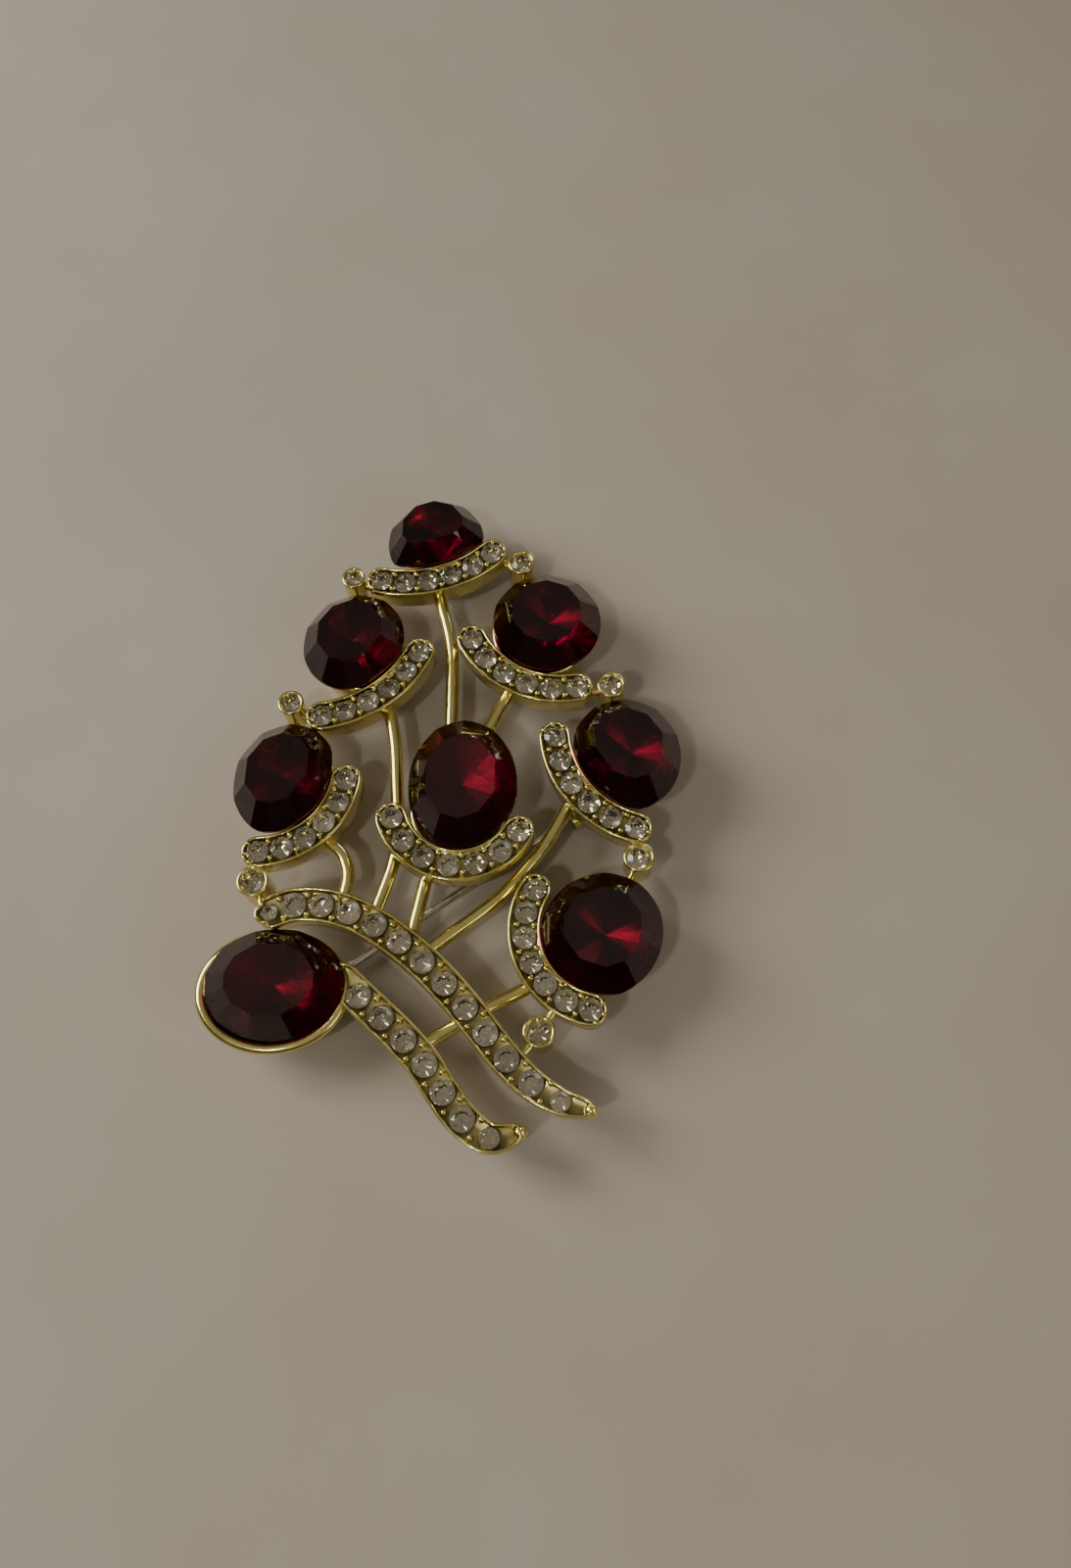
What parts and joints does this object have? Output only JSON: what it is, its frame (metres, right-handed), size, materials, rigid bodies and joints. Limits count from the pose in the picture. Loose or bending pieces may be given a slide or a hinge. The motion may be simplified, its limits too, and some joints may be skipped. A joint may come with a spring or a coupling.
{
  "type": "brooch",
  "caption": "Flower-spray brooch with faceted red stones in crescent collars of small clear stones, a ribbon foot, and a hinged pin with a safety catch.",
  "frame": {"origin": "below the middle of the brooch, on the plane that the backs of the flower cups rest on", "axes": "+Z is the face, towards the viewer; +Y points along the length to the top flower; +X is to the right when seen from the face"},
  "size_m": [0.0462, 0.0673, 0.0104],
  "materials": {
    "gold_plate": "polished pale gold plating on a cast base metal",
    "ruby_glass": "faceted dark red glass, foiled back",
    "clear_glass": "faceted clear glass, foiled back",
    "steel": "drawn wire, plated"
  },
  "bodies": {
    "brooch": {"catch_housing": "gold_plate", "centre_clear_stones": "clear_glass", "centre_red_stone": "ruby_glass", "centre_setting": "gold_plate", "foot_left_link": "gold_plate", "foot_right_link": "gold_plate", "hinge_bracket": "gold_plate", "hinge_rivet": "steel", "left_clear_stones": "clear_glass", "left_red_stone": "ruby_glass", "left_setting": "gold_plate", "left_stem": "gold_plate", "link_clear_stones": "clear_glass", "long_tail": "gold_plate", "long_tail_clear_stones": "clear_glass", "lower_right_clear_stones": "clear_glass", "lower_right_red_stone": "ruby_glass", "lower_right_setting": "gold_plate", "lower_right_stem": "gold_plate", "oval_cup": "gold_plate", "oval_red_stone": "ruby_glass", "right_clear_stones": "clear_glass", "right_red_stone": "ruby_glass", "right_setting": "gold_plate", "right_stem": "gold_plate", "short_tail": "gold_plate", "short_tail_clear_stones": "clear_glass", "side_left_link": "gold_plate", "side_right_link": "gold_plate", "tail_link": "gold_plate", "top_clear_stones": "clear_glass", "top_left_link": "gold_plate", "top_red_stone": "ruby_glass", "top_right_link": "gold_plate", "top_setting": "gold_plate", "top_stem": "gold_plate", "upper_left_clear_stones": "clear_glass", "upper_left_red_stone": "ruby_glass", "upper_left_setting": "gold_plate", "upper_left_stem": "gold_plate", "upper_right_clear_stones": "clear_glass", "upper_right_red_stone": "ruby_glass", "upper_right_setting": "gold_plate", "upper_right_stem": "gold_plate"},
    "pin": {"pin_stem": "steel"},
    "latch": {"catch_rotor": "gold_plate"}
  },
  "joints": [
    {"name": "pin_hinge", "type": "hinge", "parent": "brooch", "child": "pin", "pos_m": [-0.013, -0.0178, 0.0015], "axis": [-0.5678, 0.8231, 0], "range_deg": [0, 80]},
    {"name": "catch_lock", "type": "hinge", "parent": "brooch", "child": "latch", "pos_m": [0.01276, -0.00003, 0.0015], "axis": [-0.8231, -0.5678, 0], "range_deg": [0, 96]}
  ]
}
